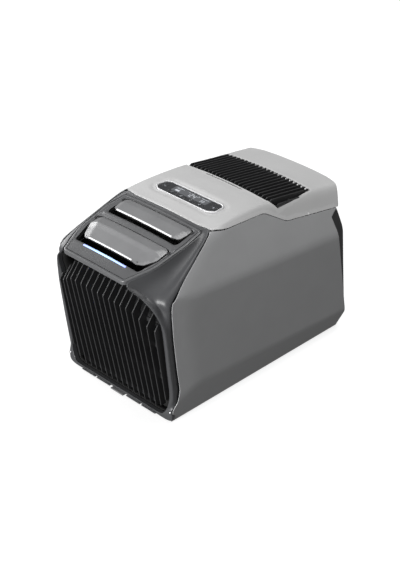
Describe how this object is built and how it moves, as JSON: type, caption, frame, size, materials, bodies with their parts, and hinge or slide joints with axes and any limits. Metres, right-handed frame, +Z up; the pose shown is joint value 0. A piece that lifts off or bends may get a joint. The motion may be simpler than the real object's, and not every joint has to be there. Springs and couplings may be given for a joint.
{
  "type": "portable air conditioner",
  "caption": "Compact portable air conditioner: faceted grey casing, slatted front grille, tilting air louvers, top controls, top intake grille and rear duct ports.",
  "frame": {"origin": "on the floor, under the middle of the body", "axes": "+Z up, front grille towards -Y, +X to the right when looking from the front along +Y"},
  "size_m": [0.297, 0.518, 0.3359],
  "materials": {
    "shell_grey": "fine moulded texture, mid grey",
    "cover_grey": "fine moulded texture, light grey",
    "bezel_dark": "satin gunmetal",
    "panel_dark": "satin gunmetal paint",
    "louver_grey": "satin grey paint",
    "grille_black": "semi-matte black",
    "rear_black": "semi-matte black",
    "light_blue": "translucent, lit blue",
    "display_dark": "glossy dark window",
    "rim_bright": "satin bright",
    "key_dark": "satin dark",
    "board_green": "solder mask",
    "rubber_black": "matte",
    "filter_mesh": "nylon mesh",
    "coil_aluminium": "bare fins",
    "copper": "bare copper tube",
    "steel": "bare",
    "pan_grey": "moulded",
    "compressor_black": "satin black",
    "foam_white": "insulating board"
  },
  "bodies": {
    "chassis": {"ac_inlet": "rear_black", "air_chute": "grille_black", "base_pan": "pan_grey", "blower_housing": "grille_black", "blower_motor": "steel", "board_bracket": "steel", "bulkhead": "foam_white", "compressor": "compressor_black", "compressor_grommets": "rubber_black", "condenser_coil": "coil_aluminium", "condenser_motor": "steel", "condenser_motor_bridge": "grille_black", "condenser_shroud": "grille_black", "connector_tray": "rear_black", "control_board": "board_green", "dc_socket": "rear_black", "display_glass": "display_dark", "display_rim": "rim_bright", "drain_spout": "rear_black", "duct_ring_left": "rear_black", "duct_ring_right": "rear_black", "evaporator_coil": "coil_aluminium", "fascia_panel": "panel_dark", "front_bezel_left": "bezel_dark", "front_bezel_right": "bezel_dark", "housing_screws": "steel", "light_bar": "light_blue", "louver_lower_brackets": "grille_black", "louver_upper_brackets": "grille_black", "main_board": "board_green", "port_guard_left": "rear_black", "port_guard_right": "rear_black", "power_flap_pin": "steel", "rear_panel": "rear_black", "rear_skirt": "rear_black", "refrigerant_pipes": "copper", "rubber_feet": "rubber_black", "side_shell_left": "shell_grey", "side_shell_right": "shell_grey", "top_cover": "cover_grey"},
    "louver_upper": {"louver_upper": "louver_grey", "louver_upper_pins": "steel"},
    "louver_lower": {"louver_lower": "louver_grey", "louver_lower_pins": "steel"},
    "front_grille": {"front_grille": "grille_black", "front_filter": "filter_mesh"},
    "grille_tab": {"grille_release_tab": "bezel_dark"},
    "top_grille": {"top_grille": "grille_black", "top_filter": "filter_mesh"},
    "blower": {"blower_wheel": "grille_black"},
    "condenser_fan": {"condenser_fan": "grille_black"},
    "power_flap": {"power_flap": "rear_black"},
    "drain_plug": {"drain_plug": "rubber_black"},
    "key_power": {"key_power": "key_dark"},
    "key_lamp": {"key_lamp": "key_dark"},
    "key_mode": {"key_mode": "key_dark"},
    "key_fan": {"key_fan": "key_dark"},
    "key_cooler": {"key_cooler": "key_dark"},
    "key_warmer": {"key_warmer": "key_dark"}
  },
  "joints": [
    {"name": "louver_upper_tilt", "type": "hinge", "parent": "chassis", "child": "louver_upper", "pos_m": [0, -0.1055, 0.3214], "axis": [-1, 0, 0], "range_deg": [-4, 28]},
    {"name": "louver_lower_tilt", "type": "hinge", "parent": "chassis", "child": "louver_lower", "pos_m": [0, -0.1655, 0.30817], "axis": [-1, 0, 0], "range_deg": [-3, 28]},
    {"name": "front_grille_pull", "type": "slide", "parent": "chassis", "child": "front_grille", "axis": [0, -1, 0], "range_m": [0, 0.06]},
    {"name": "grille_tab_press", "type": "slide", "parent": "chassis", "child": "grille_tab", "axis": [0, 0, 1], "range_m": [0, 0.002], "stiffness_N_per_m": 600},
    {"name": "top_grille_lift", "type": "slide", "parent": "chassis", "child": "top_grille", "axis": [0, 0, 1], "range_m": [0, 0.06]},
    {"name": "blower_spin", "type": "hinge", "parent": "chassis", "child": "blower", "pos_m": [0, -0.118, 0.128], "axis": [0, 1, 0], "continuous": true},
    {"name": "condenser_fan_spin", "type": "hinge", "parent": "chassis", "child": "condenser_fan", "pos_m": [0, 0.132, 0.205], "axis": [0, 0, 1], "continuous": true},
    {"name": "power_flap_swing", "type": "hinge", "parent": "chassis", "child": "power_flap", "pos_m": [0, 0.2536, 0.0686], "axis": [1, 0, 0], "range_deg": [0, 100]},
    {"name": "drain_plug_pull", "type": "slide", "parent": "chassis", "child": "drain_plug", "axis": [0, 1, 0], "range_m": [0, 0.03]},
    {"name": "key_power_press", "type": "slide", "parent": "chassis", "child": "key_power", "axis": [0, 0, -1], "range_m": [0, 0.0008], "stiffness_N_per_m": 800},
    {"name": "key_lamp_press", "type": "slide", "parent": "chassis", "child": "key_lamp", "axis": [0, 0, -1], "range_m": [0, 0.0008], "stiffness_N_per_m": 800},
    {"name": "key_mode_press", "type": "slide", "parent": "chassis", "child": "key_mode", "axis": [0, 0, -1], "range_m": [0, 0.0008], "stiffness_N_per_m": 800},
    {"name": "key_fan_press", "type": "slide", "parent": "chassis", "child": "key_fan", "axis": [0, 0, -1], "range_m": [0, 0.0008], "stiffness_N_per_m": 800},
    {"name": "key_cooler_press", "type": "slide", "parent": "chassis", "child": "key_cooler", "axis": [0, 0, -1], "range_m": [0, 0.0008], "stiffness_N_per_m": 800},
    {"name": "key_warmer_press", "type": "slide", "parent": "chassis", "child": "key_warmer", "axis": [0, 0, -1], "range_m": [0, 0.0008], "stiffness_N_per_m": 800}
  ]
}
